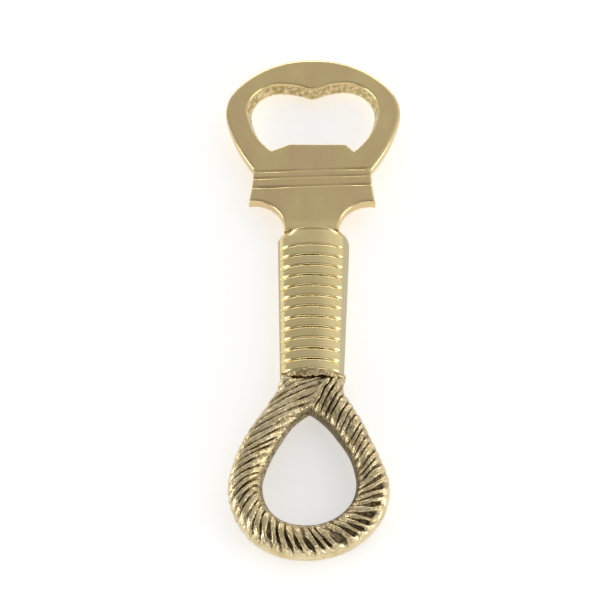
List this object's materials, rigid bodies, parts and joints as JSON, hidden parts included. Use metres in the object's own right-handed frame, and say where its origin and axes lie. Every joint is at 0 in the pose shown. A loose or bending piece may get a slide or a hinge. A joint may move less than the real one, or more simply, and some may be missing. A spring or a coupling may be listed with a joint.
{
  "type": "bottle opener",
  "caption": "Flat brass bottle opener head with a heart-shaped cap opening, on a ribbed oval grip that ends in a cast rope eye.",
  "frame": {"origin": "middle of the whole object, half way up its thickness", "axes": "+Y along the handle from the rope eye towards the head, +X across to the right, +Z out of the front face of the head"},
  "size_m": [0.0458, 0.139, 0.0094],
  "materials": {
    "satin_brass": "satin polished",
    "polished_brass": "polished lands, darker grooves",
    "antiqued_brass": "as cast, dark patina in the hollows",
    "brazing_brass": "rough bead"
  },
  "bodies": {
    "root": {"opener_head": "satin_brass", "ribbed_grip": "polished_brass", "rope_loop": "antiqued_brass", "head_joint_braze": "brazing_brass", "loop_joint_braze": "brazing_brass", "seam_bead": "brazing_brass"}
  },
  "joints": []
}
